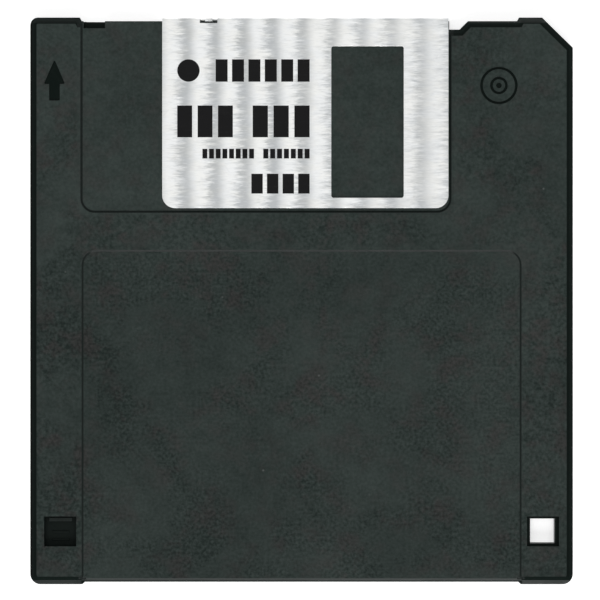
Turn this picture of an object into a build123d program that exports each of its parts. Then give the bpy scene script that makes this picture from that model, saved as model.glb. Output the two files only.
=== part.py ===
from build123d import *

import os
from math import acos, atan, atan2, cos, degrees, radians

# A 3.5 inch floppy disk, lying on its hub side with the label side up. Millimetres.
# The origin is at the middle of the case, on the surface that it lies on. +X is to the right and
# +Y towards the shutter, as seen from the label side, and +Z points up, out of the label.

# Case, outside
case_width = 90.0
case_length = 94.0
case_thickness = 3.3
front_corner_radius = 1.3
rear_corner_radius = 1.7
corner_cut_width = 5.1
corner_cut_length = 5.0
cavity_height = 1.3
wall_thickness = 1.2

# Front edge, which is lower where the shutter slides
front_edge_drop = 0.6
left_land_width = 8.2
right_land_width = 8.9
land_slope_width = 0.3
ledge_drop = 2.0
ledge_width = 1.7

# Raised face and the stepped rim around it
rim_width = 0.58
rim_drop = 0.3
rim_round = 0.25
face_bevel_width = 0.5
face_bevel_foot = 0.03
seam_chamfer = 0.1

# Label recess, which runs over the rear edge and on to the hub side
label_side_inset = 8.85
label_track_gap = 6.8
label_reach_back = 19.5
label_depth = 0.17
label_slope_width = 0.3
label_corner_radius = 2.2
label_edge_drop = 0.4
label_step_width = 0.45

# Shutter track, sunk in both faces
track_left_inset = 8.7
track_hub_gap = 1.7
track_depth = 0.35
track_slope_width = 0.35
track_corner_radius = 2.0

# Head windows, through both plates
head_window_width = 9.0
head_window_margin = 0.7

# Shutter, a folded sheet, whose window lies beside the head windows while it is closed
sheet_thickness = 0.2
shutter_travel = 12.4
shutter_stop_gap = 0.8
shutter_end_gap = 0.15
shutter_bottom_gap = 0.43
shutter_face_gap = 0.08
shutter_edge_gap = 0.3
fold_radius = 0.45
shutter_corner_radius = 2.1
shutter_window_width = 12.0
shutter_window_cover = 0.43
shutter_window_inset = 7.42
shutter_window_rise = 1.7
shutter_window_drop = 4.7
shutter_window_radius = 0.4

# Tongue lanced from the fold, which rides in a slot of the front wall
tab_inset = 7.1
tab_width = 1.2
tab_relief_width = 0.85
tab_relief_depth = 0.85
tab_relief_foot = 0.65
tab_slit_width = 0.3
tab_hook_gap = 0.2
tab_hook_top_gap = 0.05
slot_height = 1.0
slot_end_margin = 0.5
entry_notch_inset = 0.1
entry_notch_width = 3.6

# Chamber and its disc
chamber_side_gap = 0.4
groove_width = 1.0
rib_thickness = 0.8
disc_gap = 0.5
film_thickness = 0.08
film_lift = 0.06
adhesive_thickness = 0.05

# Hub, a stamped steel cup with a flange
hub_radius = 12.5
hub_sheet = 0.3
hub_flange_width = 2.25
hub_recess = 0.12
hub_bend_radius = 0.35
hub_window_gap = 0.75
film_hole_gap = 0.2
adhesive_margin = 0.25
spindle_hole_size = 4.0
spindle_hole_radius = 0.5
drive_slot_inset = 1.0
drive_slot_width = 3.2
drive_slot_length = 8.0

# Liners
liner_thickness = 0.3
liner_rim_gap = 0.9
liner_hub_gap = 0.75
liner_slot_margin = 1.5

# Lifter, a bent film leaf in a pocket under the lower liner
lifter_hub_gap = 3.5
lifter_y = 8.5
lifter_width = 10.0
lifter_length = 24.0
lifter_thickness = 0.12
lifter_flat_share = 0.4
lifter_pocket_depth = 0.3
lifter_pocket_gap = 0.5

# Sensing openings in the rear corners
hole_side_inset = 5.0
hole_rear_inset = 8.8
front_opening_width = 5.3
front_opening_length = 4.95
sensing_hole_size = 4.1
sleeve_wall = 0.8

# Write protect tab, its pocket and its slot
protect_travel = 4.3
protect_side_gap = 0.1
protect_flange_width = 5.4
protect_flange_lap = 0.5
protect_flange_thickness = 0.8
protect_plate_gap = 0.05
protect_block_width = 3.6
protect_block_recess = 0.15
protect_bar_width = 3.8
protect_bar_length = 0.6
protect_bar_inset = 0.35
protect_rib_width = 2.8
protect_rib_length = 0.3
protect_rib_height = 0.15
protect_rib_pitch = 1.25
thumb_groove_length = 0.5
thumb_groove_pitch = 1.1
thumb_groove_depth = 0.3

# Locating hole on the right and locating slot on the left, blind, in the hub side
locating_rear_inset = 16.0
locating_radius = 1.8
locating_slot_length = 4.4
locating_depth = 1.7
locating_wall = 0.8
locating_mouth_chamfer = 0.15

# Posts that join the shells
post_radius = 1.2
pin_radius = 0.55
pin_length = 0.5
pin_gap = 0.05
front_post_x_inset = 6.5
right_post_y_inset = 8.5
left_post_y_inset = 16.0
rear_post_x_inset = 11.0
rear_post_y_inset = 5.0

# Handling notches in the sides of the lower shell
handling_inset = 10.0
handling_length = 2.2
handling_depth = 0.7

# Shutter spring, a torsion spring in the front left corner
wire_diameter = 0.35
coil_radius = 1.4
coil_pitch = 0.4
coil_full_turns = 1
coil_corners = 8
coil_rounding = 0.9
spring_side_inset = 3.2
spring_front_inset = 3.4
spring_apex_x_inset = 12.0
spring_apex_y_inset = 11.0
spring_floor_gap = 0.05
spring_tab_gap = 0.05
spring_post_radius = 0.5
spring_post_gap = 0.05

# Marks sunk in the label side
mark_depth = 0.25
arrow_x_inset = 4.05
arrow_tip_inset = 7.0
arrow_head_width = 3.5
arrow_head_length = 4.05
arrow_stem_width = 1.75
arrow_stem_length = 2.75
arrow_rounding = 0.15
sign_x_inset = 12.3
sign_y_inset = 11.3
sign_radius = 3.1
sign_groove = 0.42
sign_inner_radius = 1.45
sign_dot_radius = 0.45

# Print on the front leaf: a dot beside the first row, and rows of plain blocks. Each row gives the
# shares of the printed field where it begins and ends, its top and its height, as shares too
print_thickness = 0.03
print_left_margin = 2.5
print_window_margin = 3.6
print_fold_margin = 5.2
print_bottom_margin = 2.4
print_gap_share = 0.27
print_rows = [
    {"begin": 0.29, "end": 1.0, "top": 0.07, "height": 0.155, "count": 6},
    {"begin": 0.0, "end": 0.42, "top": 0.39, "height": 0.22, "count": 3},
    {"begin": 0.57, "end": 1.0, "top": 0.39, "height": 0.22, "count": 3},
    {"begin": 0.19, "end": 0.58, "top": 0.69, "height": 0.067, "count": 8},
    {"begin": 0.65, "end": 1.0, "top": 0.69, "height": 0.067, "count": 7},
    {"begin": 0.56, "end": 1.0, "top": 0.863, "height": 0.137, "count": 4},
]

# Places worked out from the sizes above
side = case_width / 2
front = case_length / 2
rear = -case_length / 2
parting = case_thickness / 2
floor = parting - cavity_height / 2
ceiling = parting + cavity_height / 2
beyond = 1.0

front_edge = front - front_edge_drop
front_wall = front_edge - wall_thickness
side_wall = side - wall_thickness
ledge = front - ledge_drop

hub_flange_radius = hub_radius + hub_flange_width
hub_window_radius = hub_radius + hub_window_gap
shutter_right = (
    head_window_width / 2 + shutter_window_cover + shutter_window_width + shutter_window_inset
)
track_left = -side + track_left_inset
track_right = shutter_right + shutter_end_gap
track_bottom = hub_window_radius + track_hub_gap
shutter_left = track_left + shutter_stop_gap + shutter_travel
shutter_bottom = track_bottom + shutter_bottom_gap
shutter_fold = front_edge + shutter_edge_gap + sheet_thickness
leaf_top = case_thickness - track_depth + shutter_face_gap + sheet_thickness
leaf_bottom = case_thickness - leaf_top
window_left = head_window_width / 2 + shutter_window_cover
window_right = window_left + shutter_window_width
window_low = shutter_bottom + shutter_window_rise
window_high = shutter_fold - shutter_window_drop
tab_x = shutter_left + tab_inset + tab_width / 2

chamber_radius = min(side_wall - chamber_side_gap, front_wall - groove_width - rib_thickness)
disc_radius = chamber_radius - disc_gap
film_hole_radius = hub_radius + film_hole_gap
liner_outer_radius = disc_radius - liner_rim_gap
liner_inner_radius = hub_flange_radius + liner_hub_gap
lifter_right = -liner_inner_radius - lifter_hub_gap

film_bottom = floor + liner_thickness + film_lift
flange_bottom = film_bottom + film_thickness + adhesive_thickness

hole_x = side - hole_side_inset
hole_y = rear + hole_rear_inset
locating_y = rear + locating_rear_inset

protect_front = hole_y + sensing_hole_size / 2
protect_rear = hole_y - sensing_hole_size / 2
protect_flange_front = protect_front + protect_flange_lap
protect_flange_rear = protect_rear - protect_flange_lap
pocket_front = protect_flange_front + protect_side_gap
pocket_rear = protect_flange_rear - protect_travel - protect_side_gap
pocket_width = protect_flange_width + 2 * protect_side_gap

post_places = [
    (side - front_post_x_inset, front - right_post_y_inset),
    (-side + front_post_x_inset, front - left_post_y_inset),
    (side - rear_post_x_inset, rear + rear_post_y_inset),
    (-side + rear_post_x_inset, rear + rear_post_y_inset),
]


def case_outline(height):
    """The outline that both shells share, at a height."""
    slope_end = track_right + ledge_width + ledge_drop - front_edge_drop
    with BuildSketch(Plane.XY.offset(height)) as outline:
        with BuildLine():
            Polyline(
                (-side, rear),
                (-side + label_side_inset - label_step_width / 2, rear),
                (-side + label_side_inset + label_step_width / 2, rear + label_edge_drop),
                (side - label_side_inset - label_step_width / 2, rear + label_edge_drop),
                (side - label_side_inset + label_step_width / 2, rear),
                (side, rear),
                (side, front - corner_cut_length),
                (side - corner_cut_width, front),
                (side - right_land_width, front),
                (side - right_land_width - land_slope_width, front_edge),
                (slope_end, front_edge),
                (track_right + ledge_width, ledge),
                (track_right, ledge),
                (track_right, front_edge),
                (-side + left_land_width + land_slope_width, front_edge),
                (-side + left_land_width, front),
                (-side, front),
                close=True,
            )
        make_face()
        rear_corners = outline.vertices().group_by(Axis.Y)[0].sort_by(Axis.X)
        fillet([rear_corners[0], rear_corners[-1]], rear_corner_radius)
        front_corners = outline.vertices().group_by(Axis.Y)[-1].sort_by(Axis.X)
        fillet(front_corners[0], front_corner_radius)
    return outline.sketch


def face_outline(height):
    """The outline of the raised face: inside the rim, and out to the edge behind the label."""
    with BuildSketch(Plane.XY.offset(height)) as outline:
        add(case_outline(0))
        offset(amount=-rim_width, kind=Kind.INTERSECTION)
        with Locations((0, rear + label_edge_drop + rim_round)):
            Rectangle(
                case_width - 2 * label_side_inset - label_step_width,
                label_reach_back,
                align=(Align.CENTER, Align.MIN),
            )
    return outline.sketch


def inside_outline(height):
    """The space between the outer walls, less the ribs and posts that both shells have."""
    with BuildSketch(Plane.XY.offset(height)) as outline:
        add(case_outline(0))
        offset(amount=-wall_thickness, kind=Kind.INTERSECTION)
        with BuildSketch(mode=Mode.SUBTRACT):
            Circle(chamber_radius + rib_thickness)
            Circle(chamber_radius, mode=Mode.SUBTRACT)
        with Locations(*post_places):
            Circle(post_radius, mode=Mode.SUBTRACT)
        sleeve_size = sensing_hole_size + 2 * sleeve_wall
        with Locations((hole_x, hole_y)):
            Rectangle(sleeve_size, sleeve_size, mode=Mode.SUBTRACT)
        guide_right = -hole_x + pocket_width / 2 + sleeve_wall
        guide_front = pocket_front + sleeve_wall
        with Locations((guide_right, guide_front)):
            Rectangle(
                side + guide_right,
                guide_front - rear,
                align=(Align.MAX, Align.MAX),
                mode=Mode.SUBTRACT,
            )
        with Locations((-hole_x, pocket_front)):
            Rectangle(pocket_width, pocket_front - pocket_rear, align=(Align.CENTER, Align.MAX))
    return outline.sketch


def shell_blank(outer_height):
    """A solid half of the case with its stepped rim, from the parting plane outwards."""
    outwards = 1 if outer_height > parting else -1
    ledge_height = outer_height - outwards * rim_drop
    extrude(case_outline(parting), amount=abs(ledge_height - parting), dir=(0, 0, outwards))
    fillet(faces().sort_by(Axis.Z)[-1 if outwards > 0 else 0].edges(), rim_round)
    chamfer(faces().sort_by(Axis.Z)[0 if outwards > 0 else -1].edges(), seam_chamfer)
    extrude(face_outline(ledge_height), amount=rim_drop, dir=(0, 0, outwards))
    face = faces().filter_by(Axis.Z).sort_by(Axis.Z)[-1 if outwards > 0 else 0]
    bevel_drop = rim_drop - face_bevel_foot
    chamfer(face.outer_wire().edges(), face_bevel_width, bevel_drop, reference=face)


def box_plan(height, x_range, y_range, corner_radius=0.0, corner_select=None):
    """A rectangle at a height, with some of its corners rounded."""
    with BuildSketch(Plane.XY.offset(height)) as plan:
        with Locations((x_range[0], y_range[0])):
            Rectangle(
                x_range[1] - x_range[0], y_range[1] - y_range[0], align=(Align.MIN, Align.MIN)
            )
        if corner_radius:
            corners = plan.vertices()
            if corner_select is not None:
                corners = corners.group_by(Axis.Y)[corner_select]
            fillet(corners, corner_radius)
    return plan.sketch


def cut_box(x_range, y_range, z_range, corner_radius=0.0):
    """Cuts a box from the part being built."""
    plan = box_plan(z_range[0], x_range, y_range, corner_radius)
    extrude(plan, amount=z_range[1] - z_range[0], mode=Mode.SUBTRACT)


def cut_recess(plan, depth, slope_width, outwards):
    """Cuts a recess with sloped walls, from the plan of its floor out through the face."""
    extrude(
        plan,
        amount=depth + beyond,
        dir=(0, 0, outwards),
        taper=-degrees(atan(slope_width / depth)),
        mode=Mode.SUBTRACT,
    )


def cut_track(outer_height):
    """The sunk track that the shutter slides in."""
    outwards = 1 if outer_height > parting else -1
    floor_height = outer_height - outwards * track_depth
    x_range = (track_left, track_right)
    y_range = (track_bottom, front + beyond)
    plan = box_plan(floor_height, x_range, y_range, track_corner_radius, corner_select=0)
    cut_recess(plan, track_depth, track_slope_width, outwards)


def cut_label(outer_height, label_front):
    """The sunk place for the label, open to the rear edge."""
    outwards = 1 if outer_height > parting else -1
    floor_height = outer_height - outwards * label_depth
    x_range = (-side + label_side_inset, side - label_side_inset)
    y_range = (rear - beyond, label_front)
    plan = box_plan(floor_height, x_range, y_range, label_corner_radius, corner_select=-1)
    cut_recess(plan, label_depth, label_slope_width, outwards)


def cut_head_window():
    """The opening where the heads reach the disc, through one plate."""
    cut_box(
        (-head_window_width / 2, head_window_width / 2),
        (window_low + head_window_margin, window_high - head_window_margin),
        (-beyond, case_thickness + beyond),
        shutter_window_radius,
    )


def cut_tab_slot(z_range):
    """Half of the slot in the front wall that the shutter's tab rides in."""
    cut_box(
        (track_left + slot_end_margin, track_right - slot_end_margin),
        (front_wall - beyond / 2, front + beyond),
        z_range,
    )


def liner(height, name):
    """A flat nonwoven ring with a slot for the heads."""
    with BuildPart() as ring:
        with BuildSketch(Plane.XY.offset(height)):
            Circle(liner_outer_radius)
            Circle(liner_inner_radius, mode=Mode.SUBTRACT)
            Rectangle(
                head_window_width + 2 * liner_slot_margin,
                liner_outer_radius + beyond,
                align=(Align.CENTER, Align.MIN),
                mode=Mode.SUBTRACT,
            )
        extrude(amount=liner_thickness)
    ring.part.label = name
    export_step(ring.part, f"parts/{name}.step")


def tangent_angle(centre, point, turn):
    """The angle on the coil, in degrees, where a straight arm from a point meets it."""
    reach = point - centre
    return degrees(atan2(reach.Y, reach.X) + turn * acos(coil_radius / reach.length))


os.makedirs("parts", exist_ok=True)

# Upper shell, the label side of the case
with BuildPart() as upper_shell:
    shell_blank(case_thickness)
    extrude(inside_outline(parting), amount=ceiling - parting, mode=Mode.SUBTRACT)
    cut_track(case_thickness)
    cut_label(case_thickness, track_bottom - label_track_gap)
    cut_head_window()
    cut_tab_slot((parting, parting + slot_height / 2))
    entry_left = track_left + entry_notch_inset
    cut_box(
        (entry_left, entry_left + entry_notch_width),
        (front_wall, front + beyond),
        (parting, case_thickness),
    )
    with BuildSketch(Plane.XY.offset(case_thickness)):
        with Locations((hole_x, hole_y), (-hole_x, hole_y)):
            Rectangle(front_opening_width, front_opening_length)
    extrude(amount=ceiling - case_thickness, mode=Mode.SUBTRACT)
    with BuildSketch(Plane.XY.offset(parting)):
        with Locations((hole_x, hole_y)):
            Rectangle(sensing_hole_size, sensing_hole_size)
    extrude(amount=cavity_height, mode=Mode.SUBTRACT)
    with BuildSketch(Plane.XY.offset(case_thickness)) as marks:
        arrow_x = -side + arrow_x_inset
        arrow_tip = front - arrow_tip_inset
        head_base = arrow_tip - arrow_head_length
        with BuildLine():
            Polyline(
                (arrow_x, arrow_tip),
                (arrow_x - arrow_head_width / 2, head_base),
                (arrow_x - arrow_stem_width / 2, head_base),
                (arrow_x - arrow_stem_width / 2, head_base - arrow_stem_length),
                (arrow_x + arrow_stem_width / 2, head_base - arrow_stem_length),
                (arrow_x + arrow_stem_width / 2, head_base),
                (arrow_x + arrow_head_width / 2, head_base),
                close=True,
            )
        make_face()
        fillet(marks.vertices(), arrow_rounding)
        with Locations((side - sign_x_inset, front - sign_y_inset)):
            Circle(sign_radius)
            Circle(sign_radius - sign_groove, mode=Mode.SUBTRACT)
            Circle(sign_inner_radius)
            Circle(sign_inner_radius - sign_groove, mode=Mode.SUBTRACT)
            Circle(sign_dot_radius)
    extrude(amount=-mark_depth, mode=Mode.SUBTRACT)
    with BuildSketch(Plane.XY.offset(parting)):
        with Locations(*post_places):
            Circle(pin_radius)
    extrude(amount=-pin_length)
upper_shell.part.label = "upper_shell"
export_step(upper_shell.part, "parts/upper_shell.step")

# Lower shell, the hub side of the case
with BuildPart() as lower_shell:
    shell_blank(0)
    extrude(inside_outline(floor), amount=parting - floor, mode=Mode.SUBTRACT)
    with BuildSketch(Plane.XY.offset(floor)):
        with Locations((hole_x, locating_y)):
            Circle(locating_radius + locating_wall)
        with Locations((-hole_x, locating_y)):
            Rectangle(
                locating_slot_length + 2 * locating_wall, 2 * (locating_radius + locating_wall)
            )
    extrude(amount=ceiling - floor - protect_plate_gap)
    with BuildSketch():
        with Locations((hole_x, locating_y)):
            Circle(locating_radius)
        with Locations((-hole_x, locating_y)):
            Rectangle(locating_slot_length, 2 * locating_radius)
    extrude(amount=locating_depth, mode=Mode.SUBTRACT)
    mouths = edges().filter_by_position(Axis.Z, 0, 0).filter_by(
        lambda edge: abs(edge.center().Y - locating_y) <= locating_radius
        and abs(abs(edge.center().X) - hole_x) <= locating_slot_length / 2
    )
    chamfer(mouths, locating_mouth_chamfer)
    cut_track(0)
    cut_label(0, rear + label_reach_back)
    cut_head_window()
    cut_tab_slot((parting - slot_height / 2, parting))
    with BuildSketch():
        Circle(hub_window_radius)
        with Locations((hole_x, hole_y)):
            Rectangle(sensing_hole_size, sensing_hole_size)
        with Locations((-hole_x, protect_front + protect_side_gap)):
            Rectangle(
                protect_block_width + 2 * protect_side_gap,
                protect_front - protect_rear + protect_travel + 2 * protect_side_gap,
                align=(Align.CENTER, Align.MAX),
            )
    extrude(amount=case_thickness, mode=Mode.SUBTRACT)
    with BuildSketch(Plane.XY.offset(floor)):
        with Locations((lifter_right - lifter_width / 2, lifter_y)):
            Rectangle(lifter_width + 2 * lifter_pocket_gap, lifter_length + 2 * lifter_pocket_gap)
    extrude(amount=-lifter_pocket_depth, mode=Mode.SUBTRACT)
    with BuildSketch():
        with Locations((-side, front - handling_inset), (side, front - handling_inset)):
            Rectangle(2 * handling_depth, handling_length)
    extrude(amount=parting, mode=Mode.SUBTRACT)
    with BuildSketch(Plane.XY.offset(parting)):
        with Locations(*post_places):
            Circle(pin_radius + pin_gap)
    extrude(amount=-pin_length - pin_gap, mode=Mode.SUBTRACT)
    spring_post_y = front - spring_front_inset + wire_diameter / 2 + spring_post_gap + spring_post_radius
    with BuildSketch(Plane.XY.offset(floor)):
        with Locations((-side + spring_side_inset, spring_post_y)):
            Circle(spring_post_radius)
    extrude(amount=parting - floor)
lower_shell.part.label = "lower_shell"
export_step(lower_shell.part, "parts/lower_shell.step")

liner(ceiling - liner_thickness, "upper_liner")
liner(floor, "lower_liner")

# Lifter, flat where it is bonded and bent up towards the liner
with BuildPart() as lifter:
    lifter_floor = floor - lifter_pocket_depth
    lifter_left = lifter_right - lifter_width
    bend_x = lifter_left + lifter_flat_share * lifter_width
    with BuildSketch(Plane.XZ.offset(-lifter_y)):
        with BuildLine():
            Polyline(
                (lifter_left, lifter_floor),
                (bend_x, lifter_floor),
                (lifter_right, floor - lifter_thickness),
                (lifter_right, floor),
                (bend_x, lifter_floor + lifter_thickness),
                (lifter_left, lifter_floor + lifter_thickness),
                close=True,
            )
        make_face()
    extrude(amount=lifter_length / 2, both=True)
lifter.part.label = "lifter"
export_step(lifter.part, "parts/lifter.step")

# Magnetic disc, a thin coated film
with BuildPart() as magnetic_disc:
    with BuildSketch(Plane.XY.offset(film_bottom)):
        Circle(disc_radius)
        Circle(film_hole_radius, mode=Mode.SUBTRACT)
    extrude(amount=film_thickness)
magnetic_disc.part.label = "magnetic_disc"
export_step(magnetic_disc.part, "parts/magnetic_disc.step")

# Adhesive ring between the film and the hub's flange
with BuildPart() as hub_adhesive_ring:
    with BuildSketch(Plane.XY.offset(film_bottom + film_thickness)):
        Circle(hub_flange_radius - adhesive_margin)
        Circle(film_hole_radius + adhesive_margin, mode=Mode.SUBTRACT)
    extrude(amount=adhesive_thickness)
hub_adhesive_ring.part.label = "hub_adhesive_ring"
export_step(hub_adhesive_ring.part, "parts/hub_adhesive_ring.step")

# Hub, a cup with its floor near the case's bottom and its flange on the film
with BuildPart() as hub:
    with BuildSketch(Plane.XZ):
        with BuildLine():
            Polyline(
                (0, hub_recess),
                (hub_radius, hub_recess),
                (hub_radius, flange_bottom),
                (hub_flange_radius, flange_bottom),
                (hub_flange_radius, flange_bottom + hub_sheet),
                (hub_radius - hub_sheet, flange_bottom + hub_sheet),
                (hub_radius - hub_sheet, hub_recess + hub_sheet),
                (0, hub_recess + hub_sheet),
                close=True,
            )
        make_face()
    revolve(axis=Axis.Z)
    rims = edges().filter_by(GeomType.CIRCLE)
    outer_bend = rims.filter_by(lambda edge: abs(edge.radius - hub_radius) < hub_sheet / 10)
    fillet(outer_bend.sort_by(Axis.Z)[0], hub_bend_radius)
    with BuildSketch():
        RectangleRounded(spindle_hole_size, spindle_hole_size, spindle_hole_radius)
        with Locations((hub_radius - hub_sheet - drive_slot_inset, 0)):
            Rectangle(drive_slot_width, drive_slot_length, align=(Align.MAX, Align.CENTER))
    extrude(amount=case_thickness, mode=Mode.SUBTRACT)
hub.part.label = "hub"
export_step(hub.part, "parts/hub.step")

# Shutter, one sheet folded over the front edge
with BuildPart() as shutter:
    with BuildSketch(Plane.YZ.offset(shutter_left)) as fold:
        with Locations((shutter_fold, case_thickness / 2)):
            Rectangle(
                shutter_fold - shutter_bottom,
                leaf_top - leaf_bottom,
                align=(Align.MAX, Align.CENTER),
            )
        fillet(fold.vertices().group_by(Axis.X)[-1], fold_radius)
        with BuildSketch(mode=Mode.SUBTRACT) as hollow:
            with Locations((shutter_fold - sheet_thickness, case_thickness / 2)):
                Rectangle(
                    shutter_fold - shutter_bottom + beyond,
                    leaf_top - leaf_bottom - 2 * sheet_thickness,
                    align=(Align.MAX, Align.CENTER),
                )
            fillet(hollow.vertices().group_by(Axis.X)[-1], fold_radius - sheet_thickness)
    extrude(amount=shutter_right - shutter_left)
    leaf_corners = edges().filter_by(Axis.Z).group_by(Axis.Y)[0]
    fillet(leaf_corners, shutter_corner_radius)
    with BuildSketch(Plane.XY.offset(leaf_top)):
        with Locations(((window_left + window_right) / 2, (window_low + window_high) / 2)):
            RectangleRounded(
                window_right - window_left, window_high - window_low, shutter_window_radius
            )
    extrude(amount=-case_thickness, mode=Mode.SUBTRACT)
    tab_z = case_thickness / 2
    hook_top = ceiling - tab_hook_top_gap
    relief_x = tab_width / 2 + tab_relief_width / 2
    with BuildSketch(Plane.XY.offset(tab_relief_foot)):
        with Locations((tab_x - relief_x, shutter_fold), (tab_x + relief_x, shutter_fold)):
            Rectangle(tab_relief_width, 2 * tab_relief_depth)
    extrude(amount=case_thickness, mode=Mode.SUBTRACT)
    with BuildSketch(Plane.XY.offset(hook_top)):
        with Locations((tab_x, shutter_fold - tab_relief_depth)):
            Rectangle(
                tab_width + tab_relief_width, tab_slit_width, align=(Align.CENTER, Align.MIN)
            )
    extrude(amount=case_thickness, mode=Mode.SUBTRACT)
    hook_y = front_wall - tab_hook_gap - sheet_thickness
    with BuildSketch(Plane.YZ.offset(tab_x - tab_width / 2)):
        with BuildLine():
            Polyline(
                (shutter_fold, tab_z),
                (hook_y, tab_z),
                (hook_y, hook_top),
                (hook_y + sheet_thickness, hook_top),
                (hook_y + sheet_thickness, tab_z + sheet_thickness),
                (shutter_fold, tab_z + sheet_thickness),
                close=True,
            )
        make_face()
    extrude(amount=tab_width)
shutter.part.label = "shutter"
export_step(shutter.part, "parts/shutter.step")

# Print on the front leaf
with BuildPart() as shutter_print:
    with BuildSketch(Plane.XY.offset(leaf_top)):
        field_left = shutter_left + print_left_margin
        field_top = shutter_fold - print_fold_margin
        field_width = window_left - print_window_margin - field_left
        field_height = field_top - shutter_bottom - print_bottom_margin
        for row in print_rows:
            begin = field_left + row["begin"] * field_width
            row_width = (row["end"] - row["begin"]) * field_width
            row_height = row["height"] * field_height
            row_middle = field_top - row["top"] * field_height - row_height / 2
            pitch = row_width / (row["count"] - print_gap_share)
            with Locations((begin + row_width / 2, row_middle)):
                with GridLocations(pitch, 1, row["count"], 1):
                    Rectangle(pitch * (1 - print_gap_share), row_height)
        dot_radius = print_rows[0]["height"] * field_height / 2
        dot_middle = field_top - print_rows[0]["top"] * field_height - dot_radius
        with Locations((field_left + dot_radius, dot_middle)):
            Circle(dot_radius)
    extrude(amount=print_thickness)
shutter_print.part.label = "shutter_print"
export_step(shutter_print.part, "parts/shutter_print.step")

# Shutter spring: an arm held by the lower shell, a coil of rounded runs, and an arm that ends at
# the shutter's tab
with BuildPart() as shutter_spring:
    held_z = floor + spring_floor_gap + wire_diameter / 2
    held_x = -side + spring_side_inset - wire_diameter
    held_end = Vector(held_x, front - spring_front_inset, held_z)
    apex = Vector(-side + spring_apex_x_inset, front - spring_apex_y_inset, held_z)
    moving_x = tab_x - tab_width / 2 - spring_tab_gap - wire_diameter / 2
    moving_end = Vector(moving_x, front_wall - tab_hook_gap, held_z)
    start_angle = tangent_angle(apex, held_end, 1)
    end_angle = tangent_angle(apex, moving_end, -1)
    turned = (end_angle - start_angle) % 360 + 360 * coil_full_turns
    rise = coil_pitch * turned / 360
    corner_turn = turned / coil_corners
    corner_reach = Vector(coil_radius / cos(radians(corner_turn / 2)), 0, 0)
    with BuildLine() as wire:
        bends = [held_end]
        for corner in range(coil_corners):
            share = (corner + 0.5) / coil_corners
            bend = corner_reach.rotate(Axis.Z, start_angle + share * turned)
            bends.append(apex + bend + Vector(0, 0, share * rise))
        bends.append(moving_end + Vector(0, 0, rise))
        FilletPolyline(*bends, radius=coil_radius * coil_rounding)
    with BuildSketch(Plane(origin=wire.line @ 0, z_dir=wire.line % 0)):
        Circle(wire_diameter / 2)
    sweep()
shutter_spring.part.label = "shutter_spring"
export_step(shutter_spring.part, "parts/shutter_spring.step")

# Write protect tab: a flange inside the case, and a block that fills the slot in the hub side
with BuildPart() as write_protect_tab:
    flange_low = floor + protect_plate_gap
    flange_high = flange_low + protect_flange_thickness
    bar_high = ceiling - protect_plate_gap
    with BuildSketch(Plane.XY.offset(flange_low)):
        with Locations((-hole_x, protect_flange_front)):
            Rectangle(
                protect_flange_width,
                protect_flange_front - protect_flange_rear,
                align=(Align.CENTER, Align.MAX),
            )
    extrude(amount=protect_flange_thickness)
    with BuildSketch(Plane.XY.offset(flange_high)):
        with Locations((-hole_x, protect_flange_front - protect_bar_inset)):
            Rectangle(protect_bar_width, protect_bar_length, align=(Align.CENTER, Align.MAX))
    extrude(amount=bar_high - flange_high)
    with BuildSketch(Plane.XY.offset(flange_high)):
        with Locations((-hole_x, protect_rear + protect_rib_pitch)):
            with GridLocations(1, protect_rib_pitch, 1, 2):
                Rectangle(protect_rib_width, protect_rib_length)
    extrude(amount=protect_rib_height)
    with BuildSketch(Plane.XY.offset(flange_low)):
        with Locations((-hole_x, protect_front)):
            Rectangle(
                protect_block_width, protect_front - protect_rear, align=(Align.CENTER, Align.MAX)
            )
    extrude(amount=protect_block_recess - flange_low)
    with BuildSketch(Plane.XY.offset(protect_block_recess)):
        with Locations((-hole_x, (protect_front + protect_rear) / 2)):
            with GridLocations(1, thumb_groove_pitch, 1, 3):
                Rectangle(protect_block_width, thumb_groove_length)
    extrude(amount=thumb_groove_depth, mode=Mode.SUBTRACT)
write_protect_tab.part.label = "write_protect_tab"
export_step(write_protect_tab.part, "parts/write_protect_tab.step")
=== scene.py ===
from math import acos, atan2, ceil, cos, pi, radians, sin

import bpy
from bpy.props import FloatProperty, FloatVectorProperty, IntProperty, PointerProperty
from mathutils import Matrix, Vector


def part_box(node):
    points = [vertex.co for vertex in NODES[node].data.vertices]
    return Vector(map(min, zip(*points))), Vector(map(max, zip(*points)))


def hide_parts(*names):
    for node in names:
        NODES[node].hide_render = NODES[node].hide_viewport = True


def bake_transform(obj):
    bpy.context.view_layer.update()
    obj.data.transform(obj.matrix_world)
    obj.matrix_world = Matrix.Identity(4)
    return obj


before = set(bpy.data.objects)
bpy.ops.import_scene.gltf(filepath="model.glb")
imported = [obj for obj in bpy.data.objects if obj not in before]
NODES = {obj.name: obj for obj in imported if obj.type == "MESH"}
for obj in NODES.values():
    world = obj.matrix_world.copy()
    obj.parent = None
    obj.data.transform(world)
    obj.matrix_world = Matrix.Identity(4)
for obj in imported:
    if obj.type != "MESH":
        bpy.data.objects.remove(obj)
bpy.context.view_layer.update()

bl_info = {
    "name": "Floppy Disk Looks",
    "version": (1, 0, 0),
    "blender": (4, 5, 0),
    "location": "3D View > Sidebar > Floppy Disk",
    "description": "Finishes, spring and studio for a 3.5 inch floppy disk",
    "category": "Object",
}

MM = 0.001
SHUTTER_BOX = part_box("shutter")
CASE_MIDDLE = (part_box("upper_shell")[1].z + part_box("lower_shell")[0].z) / 2 / MM

# Heights of the case's surfaces over or under its middle plane, in mm
LEDGE_LEVELS = (1.325, 1.375)
MARK_LEVELS = (1.375, 1.425)
INSIDE_LEVEL = 1.2

# Where the label's recess and the shutter's track lie, slopes included, in mm
LABEL_REACH = (-46.1, 8.8)
LABEL_SIDE = 36.9
TRACK_REACH = (-37.2, 25.2)
TRACK_START = 14.2

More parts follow.
